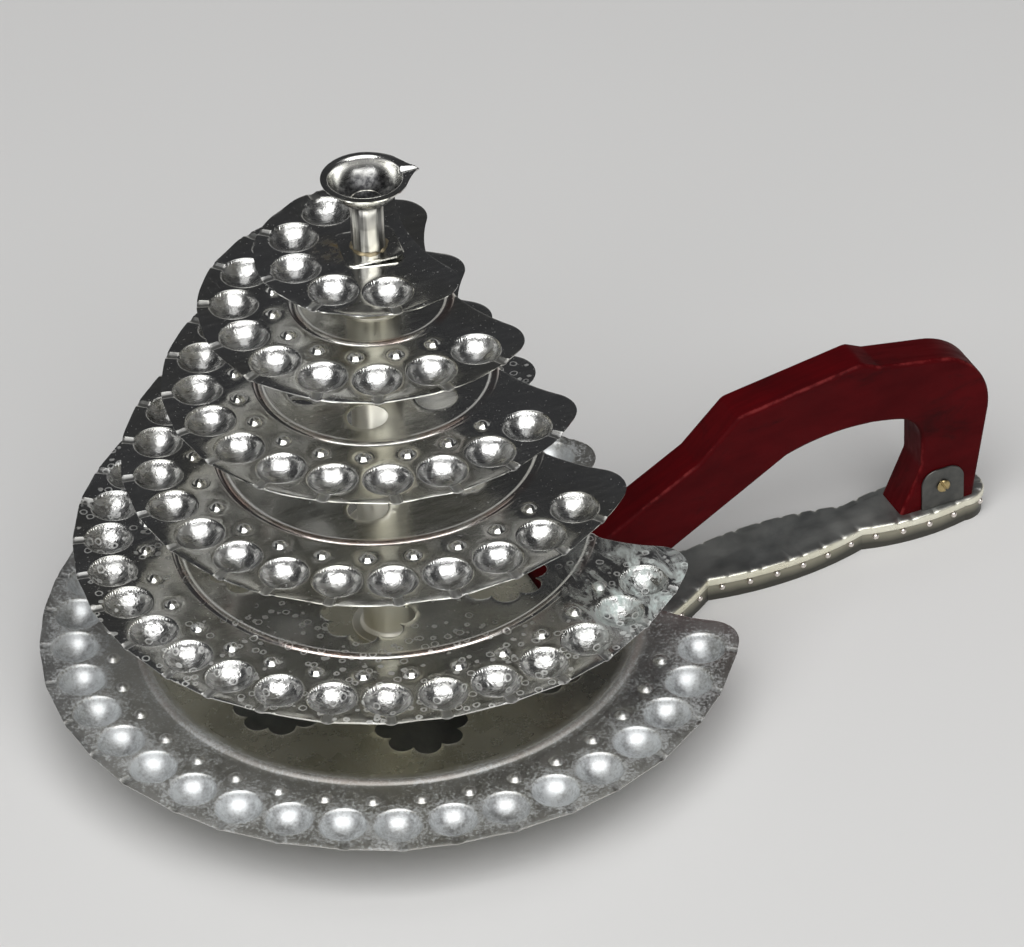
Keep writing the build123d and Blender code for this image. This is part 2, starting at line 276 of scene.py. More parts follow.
def make_object(name, points, faces, smooth=True):
    """A mesh object from points in millimetres."""
    mesh = bpy.data.meshes.new(name)
    mesh.from_pydata((np.asarray(points) * MM).tolist(), [], [list(map(int, face)) for face in faces])
    mesh.polygons.foreach_set("use_smooth", [smooth] * len(mesh.polygons))
    mesh.update()
    return new_object(name, mesh)


def on_stack(piece, turn=0.0):
    """Moves a piece from the middle to the stack's axis, turned by degrees."""
    turned = Matrix.Rotation(radians(turn), 4, "Z")
    piece.data.transform(Matrix.Translation((stack_x * MM, 0, 0)) @ turned)
    return piece


def dress(piece, material, body, slot, *nodes):
    """Gives a piece its material and body, and hides the CAD nodes it stands for; its slot is not used."""
    piece.data.materials.clear()
    piece.data.materials.append(material)
    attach(piece, body)
    if nodes:
        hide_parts(*nodes)
    return piece


def ring_faces(rows, steps, closed=True):
    """Quads between rings of points that follow each other."""
    faces = []
    for row in range(rows if closed else rows - 1):
        below = row * steps
        above = (row + 1) % rows * steps
        for step in range(steps):
            right = (step + 1) % steps
            faces.append((below + step, below + right, above + right, above + step))
    return faces


def ring_object(name, rings):
    """A closed skin over rings, the last joined to the first."""
    return make_object(name, np.vstack(rings), ring_faces(len(rings), len(rings[0])))


def even_turns(steps):
    """Even angles round a full turn."""
    return np.linspace(0, 2 * pi, steps, endpoint=False)


def ring(turn, radius, height):
    """Points round the upright axis at the given turns."""
    return np.column_stack((radius * np.cos(turn), radius * np.sin(turn), np.full(len(turn), height)))


def lathe(name, profile, centre, steps=96):
    """A closed profile of radii and heights turned about an upright axis."""
    turn = even_turns(steps)
    return ring_object(name, [ring(turn, radius, height) + centre for radius, height in profile])


def rounded(corners, radius, steps=4):
    """A closed polygon of 2-D corners with each corner rounded."""
    corners = [np.array(corner, float) for corner in corners]
    points = []
    for index, corner in enumerate(corners):
        before = corners[index - 1] - corner
        after = corners[(index + 1) % len(corners)] - corner
        reach = min(radius, 0.45 * np.linalg.norm(before), 0.45 * np.linalg.norm(after))
        start = corner + before / np.linalg.norm(before) * reach
        end = corner + after / np.linalg.norm(after) * reach
        for share in np.linspace(0, 1, steps + 1):
            points.append((1 - share) ** 2 * start + 2 * share * (1 - share) * corner + share**2 * end)
    return points


def softened(node, width):
    """A copy of a CAD node with its sharp edges eased."""
    mesh = bpy.data.meshes.new(f"{node}_soft")
    work = bmesh.new()
    work.from_mesh(frame["nodes"][node].data)
    bmesh.ops.remove_doubles(work, verts=work.verts, dist=0.002 * MM)
    bmesh.ops.dissolve_limit(work, angle_limit=radians(0.4), verts=work.verts, edges=work.edges)
    joined = [edge for edge in work.edges if len(edge.link_faces) == 2]
    sharp = [edge for edge in joined if edge.calc_face_angle() > radians(30)]
    eased = {"offset": width * MM, "segments": 2, "affect": "EDGES", "clamp_overlap": True}
    bmesh.ops.bevel(work, geom=sharp, **eased)
    for face in work.faces:
        face.smooth = True
    work.to_mesh(mesh)
    work.free()
    piece = new_object(mesh.name, mesh)
    piece.modifiers.new("flat_faces", "WEIGHTED_NORMAL")
    return piece


# Sheets over an outline

def polar(radius, angle):
    """Points at angles round the middle."""
    return np.column_stack((radius * np.cos(angle), radius * np.sin(angle)))


def arc(centre, radius, start, end, spacing):
    """Points on an arc between two angles, without the last one."""
    steps = max(2, int(abs(end - start) * radius / spacing))
    return polar(radius, np.linspace(start, end, steps, endpoint=False)) + centre


def ring_points(centre, radii, spacing):
    """A centre and points on circles about it."""
    points = [np.array([centre], float)]
    for radius in radii:
        points.append(arc(centre, radius, radius, radius + 2 * pi, spacing))
    return np.vstack(points)


def inside(points, loops):
    """Which points lie inside an outline and outside its holes."""
    x, y = points[:, 0], points[:, 1]
    found = np.zeros(len(points), bool)
    for loop in loops:
        for (x0, y0), (x1, y1) in zip(loop, np.roll(loop, -1, axis=0)):
            if y0 != y1:
                found ^= ((y0 > y) != (y1 > y)) & (x < (x1 - x0) * (y - y0) / (y1 - y0) + x0)
    return found


def loop_distance(points, loops):
    """Distance of each point from the nearest point on any loop."""
    marks = np.vstack(loops)
    nearest = np.full(len(points), np.inf)
    for start in range(0, len(marks), 200):
        gap = points[:, None, :] - marks[None, start : start + 200, :]
        nearest = np.minimum(nearest, np.hypot(gap[..., 0], gap[..., 1]).min(axis=1))
    return nearest


def face_normals(points, faces):
    """The normal of each triangle, twice as long as its area."""
    first, second, third = (points[faces[:, corner]] for corner in range(3))
    return np.cross(second - first, third - first)


def triangles(loops, points, clear):
    """Flat triangles over an outline with holes, through the points clear of its edges."""
    points = points[inside(points, loops)]
    points = points[loop_distance(points, loops) > clear]
    edges = []
    start = 0
    for loop in loops:
        edges += [(start + step, start + (step + 1) % len(loop)) for step in range(len(loop))]
        start += len(loop)
    spots = [Vector(spot) for spot in np.vstack([*loops, points])]
    flat, _, faces, _, _, _ = delaunay_2d_cdt(spots, edges, [], 0, 1e-4)
    flat = np.array([tuple(spot) for spot in flat])
    faces = np.array(faces)
    faces = faces[inside(flat[faces].mean(axis=1), loops)]
    used, faces = np.unique(faces, return_inverse=True)
    flat = flat[used]
    faces = faces.reshape(-1, 3)
    turned = face_normals(flat, faces) < 0
    faces[turned] = faces[turned][:, ::-1]
    return flat, faces


def inset_loop(loop, depth):
    """A closed loop moved to its left, or to its right by a negative depth."""
    tangent = np.roll(loop, -1, axis=0) - np.roll(loop, 1, axis=0)
    leftward = np.column_stack((-tangent[:, 1], tangent[:, 0]))
    return loop + depth * leftward / np.linalg.norm(leftward, axis=1, keepdims=True)


def thick_sheet(name, flat, faces, height, thickness, masks=None):
    """A sheet under a height function, its edges sharp and rolled down a little."""
    top = np.column_stack((flat, height(flat[:, 0], flat[:, 1])))
    count = len(top)
    borders = {(a, b) for face in faces.tolist() for a, b in zip(face, face[1:] + face[:1])}
    rim = [(a, b) for a, b in borders if (b, a) not in borders]
    top[[a for a, _ in rim], 2] -= edge_roll
    normals = np.zeros_like(top)
    for corner in range(3):
        np.add.at(normals, faces[:, corner], face_normals(top, faces))
    normals /= np.linalg.norm(normals, axis=1, keepdims=True)
    rim_faces = [(a, a + count, b + count, b) for a, b in sorted(rim)]
    everything = faces.tolist() + (faces[:, ::-1] + count).tolist() + rim_faces
    piece = make_object(name, np.vstack((top, top - thickness * normals)), everything)
    sharp = {frozenset(pair) for pair in rim} | {frozenset((a + count, b + count)) for a, b in rim}
    edges = piece.data.edges
    edges.foreach_set("use_edge_sharp", [frozenset(edge.vertices) in sharp for edge in edges])
    for key, share in (masks or {}).items():
        values = share(flat[:, 0], flat[:, 1])
        layer = piece.data.attributes.new(key, "FLOAT", "POINT")
        layer.data.foreach_set("value", np.concatenate((values, values)).astype(np.float32))
    return piece


def soft_max(first, second, width):
    """The larger of two heights, with a rounded changeover."""
    return (first + second + np.sqrt((first - second) ** 2 + width**2)) / 2


def pressed(form, rim):
    """A pressed form over a flat sheet, with a rounded foot."""
    return soft_max(form, 0, rim) - rim / rim_settle


def mirrored(values):
    """Rising values from nothing, with their opposites before them."""
    return [-value for value in values[:0:-1]] + list(values)


def ball_cap(distance, radius, height):
    """Height of a round cap over its base, falling on past the rim."""
    ball = (radius**2 + height**2) / (2 * height)
    limit = min(radius, 0.97 * ball)
    cap = np.sqrt(ball**2 - np.minimum(distance, limit) ** 2) - (ball - height)
    slope = limit / sqrt(ball**2 - limit**2)
    return cap - slope * np.maximum(distance - limit, 0)


def smooth_step(value, low, high):
    """An even rise from 0 to 1 between two values."""
    share = np.clip((value - low) / (high - low), 0, 1)
    return share * share * (3 - 2 * share)


def ripple(x, y, seed, size=1.0):
    """Slow waves of a hand-worked sheet."""
    random = np.random.RandomState(seed)
    height = np.zeros_like(x)
    for _ in range(7):
        angle = random.uniform(0, 2 * pi)
        wave = 2 * pi / random.uniform(38, 110) / size
        phase = random.uniform(0, 2 * pi)
        height += ripple_height * np.sin(wave * (x * cos(angle) + y * sin(angle)) + phase)
    return height


# Lamp plates

class Plate:
    """One plate's cups, spouts, domes and bead, from the stack's axis."""

    def __init__(self, index):
        random = np.random.RandomState(100 + index)
        self.index = index
        self.spout_depth = frosted_spout_depth if index == 0 else spout_depth
        self.edge = edge_radii[index] - edge_inset
        self.circle = edge_radii[index] - edge_lip - cup_radius
        half = cup_counts[index] // 2
        self.angles = pi + np.arange(-half, half + 1) * cup_pitch / self.circle
        self.leans = np.radians(random.uniform(-spout_lean, spout_lean, len(self.angles)))
        self.depths = cup_depth * random.uniform(shallow_cup, 1.0, len(self.angles))
        self.cups = polar(self.circle, self.angles)
        reach = (cup_radius + edge_lip) / self.edge
        self.exits = self.angles + np.sin(self.leans) * reach
        self.beaded = index < len(bead_circles)
        between = (self.angles[1:] + self.angles[:-1]) / 2 if self.beaded else np.zeros(0)
        self.domes = polar(self.circle - dome_inset, between)
        self.phases = random.uniform(0, 2 * pi, len(edge_waves))

    def spout_place(self, number, x, y):
        """How far along and across one spout a point lies."""
        angle = self.angles[number] + self.leans[number]
        x = x - self.cups[number, 0]
        y = y - self.cups[number, 1]
        return x * cos(angle) + y * sin(angle), y * cos(angle) - x * sin(angle)

    def height(self, x, y):
        """Height of the pressed sheet."""
        hollow = np.zeros_like(x)
        raised = np.zeros_like(x)
        for number, (cx, cy) in enumerate(self.cups):
            cup = ball_cap(np.hypot(x - cx, y - cy), cup_radius, self.depths[number])
            hollow = np.maximum(hollow, pressed(cup, cup_rim))
            along, across = self.spout_place(number, x, y)
            across = np.abs(across)
            groove = pressed(ball_cap(across, spout_width / 2, self.spout_depth), spout_rim)
            hollow = np.maximum(hollow, np.where(along > 0, groove, 0))
            ridge = ridge_height * np.exp(-(((across - ridge_offset) / ridge_width) ** 2))
            raised = np.maximum(raised, ridge * smooth_step(along, cup_radius, cup_radius + ridge_run))
        for cx, cy in self.domes:
            distance = np.hypot(x - cx, y - cy)
            raised = np.maximum(raised, pressed(ball_cap(distance, dome_radius, dome_height), dome_rim))
            moat = np.exp(-(((distance - dome_radius - moat_offset) / moat_width) ** 2))
            hollow = np.maximum(hollow, moat_depth * moat)
        distance = np.hypot(x, y)
        if self.beaded:
            bead = ball_cap(np.abs(distance - bead_circles[self.index]), bead_width / 2, bead_height)
            raised = np.maximum(raised, pressed(bead, dome_rim))
        raised = raised * (1 - smooth_step(hollow, *raised_fade))
        return plate_tops[self.index] + raised - hollow + self.waves(x, y)

    def waves(self, x, y):
        """The slow ripples of the sheet, stronger along its edge."""
        turn = np.arctan2(y, x)
        edge = smooth_step(np.hypot(x, y), self.edge - wave_band, self.edge)
        waves = zip(edge_waves, self.phases)
        swing = sum(size * np.sin(count * turn + phase) for (count, size), phase in waves)
        return ripple(x, y, self.index) + edge * edge_wave * swing / 2

    def near_cup(self, x, y):
        """One inside the cups, fading out beyond their rims."""
        nearest = np.min([np.hypot(x - cx, y - cy) for cx, cy in self.cups], axis=0)
        return 1 - smooth_step(nearest, cup_radius - cup_fade[0], cup_radius + cup_fade[1])

    def in_spout(self, x, y):
        """One along the bottoms of the spouts, outside the cups."""
        found = np.zeros_like(x)
        for number in range(len(self.cups)):
            along, across = self.spout_place(number, x, y)
            bottom = 1 - smooth_step(np.abs(across), *spout_fade)
            found = np.maximum(found, bottom * smooth_step(along, cup_radius - 0.5, cup_radius + 1.0))
        return found

    def on_bead(self, x, y):
        """One on the outer flank of the ring bead."""
        if not self.beaded:
            return np.zeros_like(x)
        return np.exp(-(((np.hypot(x, y) - bead_circles[self.index] - wear_offset) / wear_width) ** 2))

    def edge_line(self, start):
        """The round edge, finer at the spouts, a little flat between them."""
        coarse = np.arange(start, 2 * pi - start, edge_step / self.edge)
        near = np.arange(-spout_reach, spout_reach + 0.01, spout_step)
        fine = np.concatenate([spout + near / self.edge for spout in self.exits])
        gaps = np.min(np.abs(coarse[:, None] - self.exits[None, :]), axis=1)
        angles = np.sort(np.concatenate((coarse[gaps > (spout_reach + 0.5) / self.edge], fine)))
        nearest = np.min(np.abs(angles[:, None] - self.exits[None, :]), axis=1)
        share = np.clip(2 * nearest * self.circle / cup_pitch, 0, 1)
        share[(angles < self.exits[0]) | (angles > self.exits[-1])] = 0
        radii = self.edge - edge_sag * (1 - np.cos(pi * share)) / 2
        return polar(radii, angles)

    def outline(self):
        """Round edge, lobes and bay, with the handle's slot in the lowest plate."""
        bay = bay_depths[self.index] + bay_radius
        inner, outer = self.edge - corner_radius, bay_radius + corner_radius
        cx = (inner**2 - outer**2 + bay**2) / (2 * bay)
        cy = sqrt(inner**2 - cx**2)
        lobe = atan2(cy, cx)
        turn = atan2(-cy, bay - cx)
        bay_turn = atan2(cy, cx - bay)
        centre = (bay, 0)
        parts = [self.edge_line(lobe), arc((cx, -cy), corner_radius, -lobe, -turn, corner_step)]
        if self.index == 0:
            half = slot_width / 2
            gap = np.arcsin(half / bay_radius)
            side = np.arange(bay - bay_radius * cos(gap), slot_front, -edge_step)
            front = np.linspace(-half, half, slot_points)
            parts.append(arc(centre, bay_radius, 2 * pi - bay_turn, pi + gap, edge_step))
            for x, y in ((side, -half), (slot_front, front), (side[:0:-1], half)):
                parts.append(np.column_stack(np.broadcast_arrays(x, y)))
            parts.append(arc(centre, bay_radius, pi - gap, bay_turn, edge_step))
        else:
            parts.append(arc(centre, bay_radius, 2 * pi - bay_turn, bay_turn, edge_step))
        parts.append(arc((cx, cy), corner_radius, turn, lobe, corner_step))
        return np.vstack(parts)

    def holes(self):
        """Every hole through the disc."""
        loops = [arc((0, 0), rod_hole, 0, 2 * pi, hole_step)]
        if self.index < len(cutout_circles):
            for step in range(1, cutout_steps[self.index]):
                angle = 2 * pi * step / cutout_steps[self.index]
                reach = cutout_circles[self.index]
                centre = (reach * cos(angle), reach * sin(angle))
                if self.index < flower_plates:
                    loops.append(flower_loop(centre, angle))
                else:
                    loops.append(arc(centre, hole_radius, 0, 2 * pi, hole_step))
        return loops

    def points(self):
        """Mesh points, dense where the sheet is pressed."""
        worked = [ring_points(cup, cup_rings, cup_step) for cup in self.cups]
        worked += [ring_points(dome, dome_rings, dome_step) for dome in self.domes]
        worked = np.vstack(worked)
        plain = ring_points((0, 0), np.arange(plain_start, self.edge, plain_step), plain_step)
        for spots, clear in ((self.cups, cup_clear), (self.domes, dome_clear)):
            for spot in spots:
                plain = plain[np.hypot(*(plain - spot).T) >= clear]
        runs = np.arange(spout_start, cup_radius + edge_lip + 2, run_step)
        runs, rows = (grid.ravel() for grid in np.meshgrid(runs, mirrored(spout_rows)))
        grooves = []
        for number, (cx, cy) in enumerate(self.cups):
            angle = self.angles[number] + self.leans[number]
            x = cx + runs * cos(angle) - rows * sin(angle)
            grooves.append(np.column_stack((x, cy + runs * sin(angle) + rows * cos(angle))))
            for group in (worked, plain):
                along, across = self.spout_place(number, group[:, 0], group[:, 1])
                close = (along > spout_clear[0]) & (along < spout_clear[1])
                group[close & (np.abs(across) < strip_clear)] = np.nan
        rings = []
        if self.beaded:
            circle = bead_circles[self.index]
            plain[np.abs(np.hypot(plain[:, 0], plain[:, 1]) - circle) < strip_clear] = np.nan
            for offset in mirrored(bead_rows):
                spacing = bead_step * (circle + offset) / circle
                rings.append(arc((0, 0), circle + offset, 0, 2 * pi, spacing))
        points = np.vstack([worked, plain, *grooves, *rings])
        return points[~np.isnan(points[:, 0])]


def flower_loop(centre, turn):
    """The scalloped outline of a flower cut-out."""
    half = pi / petal_count
    meet = flower_ring * cos(half) + sqrt(petal_radius**2 - (flower_ring * sin(half)) ** 2)
    span = atan2(meet * sin(half), meet * cos(half) - flower_ring)
    petals = []
    for petal in range(petal_count):
        angle = turn + 2 * half * petal
        spot = (centre[0] + flower_ring * cos(angle), centre[1] + flower_ring * sin(angle))
        petals.append(arc(spot, petal_radius, angle - span, angle + span, hole_step))
    return np.vstack(petals)


def lamp_plate(index):
    """One lamp plate with its pressed forms."""
    plate = Plate(index)
    outline, holes = plate.outline(), plate.holes()
    rolled = [inset_loop(outline, roll_width)] + [inset_loop(hole, -roll_width) for hole in holes]
    flat, faces = triangles([outline, *holes], np.vstack([plate.points(), *rolled]), 0.7)
    masks = {"near_cup": plate.near_cup, "in_spout": plate.in_spout, "on_bead": plate.on_bead}
    return on_stack(thick_sheet(f"plate_{index + 1}", flat, faces, plate.height, shown_sheet, masks))


# Crown

def leaf_loop():
    """The crown's outline: a disc drawn out to a point with hollow flanks."""
    touch = acos(crown_rim / crown_tip)
    start = crown_rim * np.array((cos(touch), sin(touch)))
    tip = np.array((crown_tip, 0.0))
    share = np.linspace(0, 1, 14)[1:-1, None]
    flank = start + (tip - start) * share - flank_hollow * np.sin(pi * share) * start / crown_rim
    mirror = np.array((1, -1))
    round_edge = arc((0, 0), crown_rim, touch, 2 * pi - touch, crown_step)
    return np.vstack((round_edge, [start * mirror], flank * mirror, [tip], flank[::-1]))


def crown_height(x, y):
    """Height of the crown's sheet: a bowl with a groove to the tip."""
    bowl = soft_max(ball_cap(np.hypot(x, y), crown_radius, crown_depth), 0, bowl_rim) - bowl_settle
    share = np.clip((x - crown_radius + groove_start) / (crown_tip - crown_radius + groove_start), 0, 1)
    width = groove_start + (groove_end - groove_start) * share
    across = np.minimum(np.abs(y) / width, groove_flank)
    groove = groove_depth * width * soft_max(ball_cap(across, 1.0, 1.0), 0, groove_rim)
    hollow = np.maximum(bowl, np.where(x > groove_inner, groove, 0))
    return crown_top - hollow + ripple(x, y, 40, 0.5) - crown_settle


def crown_soot(x, y):
    """One in the bowl, falling to nothing near its rim."""
    return 1 - smooth_step(np.hypot(x, y), crown_radius - soot_fade[0], crown_radius - soot_fade[1])


def crown_lamp():
    """The crown's bowl with its flange and spout."""
    points = ring_points((0, 0), crown_rings, 1.1)
    points = points[~((points[:, 0] > tip_start - 0.4) & (np.abs(points[:, 1]) < tip_half + 0.3))]
    grid = np.mgrid[tip_start:tip_end:tip_step, -tip_half : tip_half + 0.1 : tip_step].reshape(2, -1).T
    flat, faces = triangles([leaf_loop()], np.vstack((points, grid)), 0.4)
    bowl = thick_sheet("crown_bowl", flat, faces, crown_height, crown_sheet, {"near_cup": crown_soot})
    return on_stack(bowl, crown_turn)


def crown_post():
    """The rolled tube under the bowl, with flats and a lapped seam."""
    low = node_box("crown_post")[0][2]
    top = crown_top - post_drop
    turn = even_turns(post_steps)
    facet = 2 * pi / post_facets
    share = (turn / facet) % 1 - 0.5
    flat = post_radius * cos(facet / 2) / np.cos(share * facet)
    outer = (1 - flat_share) * post_radius + flat_share * flat
    rise, peak, fall = (radians(angle) for angle in seam_turns)
    outer -= seam_step * (turn < fall) * smooth_step(turn, rise, peak)
    bore = post_radius - crown_sheet
    levels = [(outer, low), (outer, low + 0.3), (outer - post_waist, (low + top) / 2), (outer, top)]
    levels += [(bore, top), (bore, low)]
    rings = [ring(turn, radius, height) for radius, height in levels]
    return on_stack(ring_object("crown_tube", rings), crown_turn)


def crown_flange():
    """The post's thin foot plate, one corner bent up."""
    top = node_box("crown_flange")[1][2]
    half = flange_side / 2
    centre = half - flange_corner
    loop = []
    for sx, sy, start in ((1, 1, 0), (-1, 1, pi / 2), (-1, -1, pi), (1, -1, 1.5 * pi)):
        loop.append(arc((centre * sx, centre * sy), flange_corner, start, start + pi / 2, crown_step))
    bore = arc((0, 0), post_radius - 1.6, 0, 2 * pi, hole_step)

    def height(x, y):
        lift = smooth_step((x - y) / sqrt(2), *lift_span)
        return top + flange_lift * lift**2 + ripple(x, y, 41, 0.4) - flange_settle

    grid = np.mgrid[-half:half:1.4, -half:half:1.4].reshape(2, -1).T
    flat, faces = triangles([np.vstack(loop), bore], grid, 0.5)
    return on_stack(thick_sheet("crown_foot", flat, faces, height, crown_sheet), crown_turn)


def crown_braze():
    """The lumpy braze where the post meets its foot plate."""
    top = node_box("crown_flange")[1][2]
    turn = even_turns(braze_steps)
    lumps = sum((size * np.sin(count * turn + phase) for count, size, phase in braze_lumps), braze_size)
    lumps = np.maximum(lumps, 0.35)
    rings = []
    for out, up in braze_profile:
        radius = post_radius - 0.2 + (out * lumps if out > 0 else out)
        rings.append(ring(turn, radius, top + up * np.minimum(lumps, 1.3)))
    return on_stack(ring_object("crown_braze", rings), crown_turn)


# Base

def three_point_arc(start, middle, end, spacing=1.0):
    """Points on the arc through three points, without the last one."""
    (ax, ay), (bx, by), (cx, cy) = start, middle, end
    cross = 2 * (ax * (by - cy) + bx * (cy - ay) + cx * (ay - by))
    sa, sb, sc = ax * ax + ay * ay, bx * bx + by * by, cx * cx + cy * cy
    x = (sa * (by - cy) + sb * (cy - ay) + sc * (ay - by)) / cross
    y = (sa * (cx - bx) + sb * (ax - cx) + sc * (bx - ax)) / cross
    first, last = atan2(ay - y, ax - x), atan2(cy - y, cx - x)
    if cross > 0:
        last = first + (last - first) % (2 * pi)
    else:
        last = first - (first - last) % (2 * pi)
    return arc((x, y), sqrt((ax - x) ** 2 + (ay - y) ** 2), first, last, spacing)


def base_loop():
    """The base from above: a disc with a scalloped tail."""
    low, high = node_box("base_plate")
    radius = (high[1] - low[1]) / 2
    end = high[0] - stack_x
    root = sqrt(radius**2 - tail_root**2)
    late = end - end_lobe
    early = late - long_lobe
    corner = end - shoulder_run
    side = [
        (corner, shoulder),
        ((late + corner) / 2, end_ledge),
        (late, second_cusp),
        ((early + late) / 2, long_ledge),
        (early, first_cusp),
        (root + root_crown * (early - root), root_ledge),
        (root, tail_root),
    ]
    near = [(x, -y) for x, y in side[::-1]]
    parts = [three_point_arc(near[-1], (end, 0), side[0])]
    parts += [three_point_arc(*side[start : start + 3]) for start in (0, 2, 4)]
    parts.append(three_point_arc(side[-1], (-radius, 0), near[0]))
    parts += [three_point_arc(*near[start : start + 3]) for start in (0, 2, 4)]
    return np.vstack(parts)


def crimps(loop):
    """Depth of the folded edge's crimps along the outline, from 0 to 1."""
    random = np.random.RandomState(7)
    steps = np.linalg.norm(loop - np.roll(loop, 1, axis=0), axis=1)
    along = np.cumsum(steps)
    places = np.arange(0, along[-1], crimp_pitch)
    places = places + random.uniform(-crimp_stray, crimp_stray, len(places))
    depths = random.uniform(shallow_crimp, 1.0, len(places))
    marks = depths * np.exp(-(((along[:, None] - places[None, :]) / crimp_width) ** 2))
    return marks.max(axis=1)


def base_plate():
    """The top of the base, its edge folded down in crimps to a lip."""
    top = node_box("base_plate")[1][2]
    loop = base_loop()
    count = len(loop)
    marks = crimps(loop)
    rings = []
    profile = (
        (4.2, 0.0, 0.0, 0.2),
        (2.8, 0.0, 0.1, 0.7),
        (1.6, -0.06, 0.5, 1.0),
        (0.8, -0.25, 0.9, 1.0),
        (0.25, -0.7, 1.1, 0.6),
        (0.0, -1.5, 0.8, 0.0),
        (0.0, 0.7 - lip_depth, 0.1, 0.0),
        (0.2, 0.15 - lip_depth, 0.0, 0.0),
        (0.6, -lip_depth, 0.0, 0.0),
        (lip_wall, -lip_depth, 0.0, 0.0),
        (lip_wall, -base_sheet, 0.0, 0.0),
        (4.2, -base_sheet, 0.0, 0.0),
    )
    for inset, drop, pinch, sink in profile:
        spots = inset_loop(loop, (inset + pinch * marks)[:, None])
        rings.append(np.column_stack((spots, top + drop - sink * marks)))
    points = ring_points((0, 0), np.arange(base_step, base_reach, base_step), base_step)
    flat, faces = triangles([rings[0][:, :2]], points, 2.5)
    upper = np.column_stack((flat, top + 0.5 * ripple(flat[:, 0], flat[:, 1], 50) - 0.1))
    lower = np.column_stack((flat, np.full(len(flat), top - base_sheet)))
    start = len(rings) * count
    points = np.vstack([*rings, upper, lower])
    everything = [face[::-1] for face in ring_faces(len(rings), count, closed=False)]
    everything += (faces + start).tolist() + (faces[:, ::-1] + start + len(flat)).tolist()
    piece = make_object("base_top", points, everything)
    work = bmesh.new()
    work.from_mesh(piece.data)
    bmesh.ops.remove_doubles(work, verts=work.verts, dist=0.12 * MM)
    work.to_mesh(piece.data)
    work.free()
    return on_stack(piece)


# Handle fittings

def screw_heads():
    """The slotted heads of the two screws in the heel bracket."""
    low, high = node_box("bracket_screws")
    centre = (low + high) / 2
    loop = arc((0, 0), head_radius, 0, 2 * pi, 0.5)
    rings = ring_points((0, 0), np.arange(0.6, head_radius, 0.4), 0.5)
    lines = np.mgrid[-3.4:3.4:0.4, 0:4].reshape(2, -1).T
    lines[:, 1] = np.array(slot_rows)[lines[:, 1].astype(int)]
    rings = rings[np.abs(rings[:, 1]) > 0.8]
    flat, faces = triangles([loop], np.vstack((rings, lines)), 0.15)

    def height(x, y):
        dome = head_height * (1 - 0.55 * (np.hypot(x, y) / head_radius) ** 2.4)
        return np.where(np.abs(y) < slot_half, dome - slot_depth, dome)

    heads = []
    for sign, turn in screw_turns:
        head = thick_sheet(f"screw_head_{turn}", flat, faces, height, 0.7)
        face = centre[1] + sign * ((high[1] - low[1]) / 2 - head_height)
        seat = Matrix.Translation(Vector((centre[0], face, centre[2])) * MM)
        aim = Vector((0, sign, 0)).to_track_quat("Z", "X").to_matrix().to_4x4()
        head.data.transform(seat @ aim @ Matrix.Rotation(turn, 4, "Z"))
        heads.append(head)
    work = bmesh.new()
    for head in heads:
        work.from_mesh(head.data)
    work.to_mesh(heads[0].data)
    work.free()
    bpy.data.objects.remove(heads[1])
    heads[0].name = "bracket_screw_heads"
    return heads[0]


# Materials

class Field:
    """A value in a node tree."""

    def __init__(self, nodes, socket):
        self.nodes = nodes
        self.socket = socket

    def __add__(self, other):
        return self.nodes.maths("ADD", self, other)

    def __sub__(self, other):
        return self.nodes.maths("SUBTRACT", self, other)

    def __rsub__(self, other):
        return self.nodes.maths("SUBTRACT", other, self)

    def __mul__(self, other):
        return self.nodes.maths("MULTIPLY", self, other)

    def __abs__(self):
        return self.nodes.maths("ABSOLUTE", self)

    def axis(self, letter):
        """One of the three parts of a vector."""
        return self.nodes.add("ShaderNodeSeparateXYZ", letter, {0: self})

    def noise(self, scale, detail=4, rough=0.55, distortion=0):
        """A cloudy pattern from 0 to 1, with scale in cycles per metre."""
        inputs = {"Vector": self, "Scale": scale, "Detail": detail, "Roughness": rough}
        inputs["Distortion"] = distortion
        return self.nodes.add("ShaderNodeTexNoise", "Fac", inputs)

    def fit(self, low, high, to_low=0, to_high=1):
        """A value fitted from one range to another."""
        inputs = {"Value": self, "From Min": low, "From Max": high, "To Min": to_low, "To Max": to_high}
        return self.nodes.add("ShaderNodeMapRange", "Result", inputs)

    def mix(self, first, second):
        """Two colours mixed by a share."""
        node = self.nodes.tree.nodes.new("ShaderNodeMix")
        node.data_type = "RGBA"
        sockets = {socket.identifier: socket for socket in [*node.inputs, *node.outputs]}
        self.nodes.set(sockets["Factor_Float"], self)
        for key, value in (("A_Color", first), ("B_Color", second)):
            self.nodes.set(sockets[key], value if isinstance(value, Field) else (*value, 1))
        return Field(self.nodes, sockets["Result_Color"])

    def bump(self, strength, distance, normal=None):
        """A height as a bump, with its distance in millimetres."""
        inputs = {"Height": self, "Strength": strength, "Distance": distance * MM}
        if normal is not None:
            inputs["Normal"] = normal
        return self.nodes.add("ShaderNodeBump", "Normal", inputs)


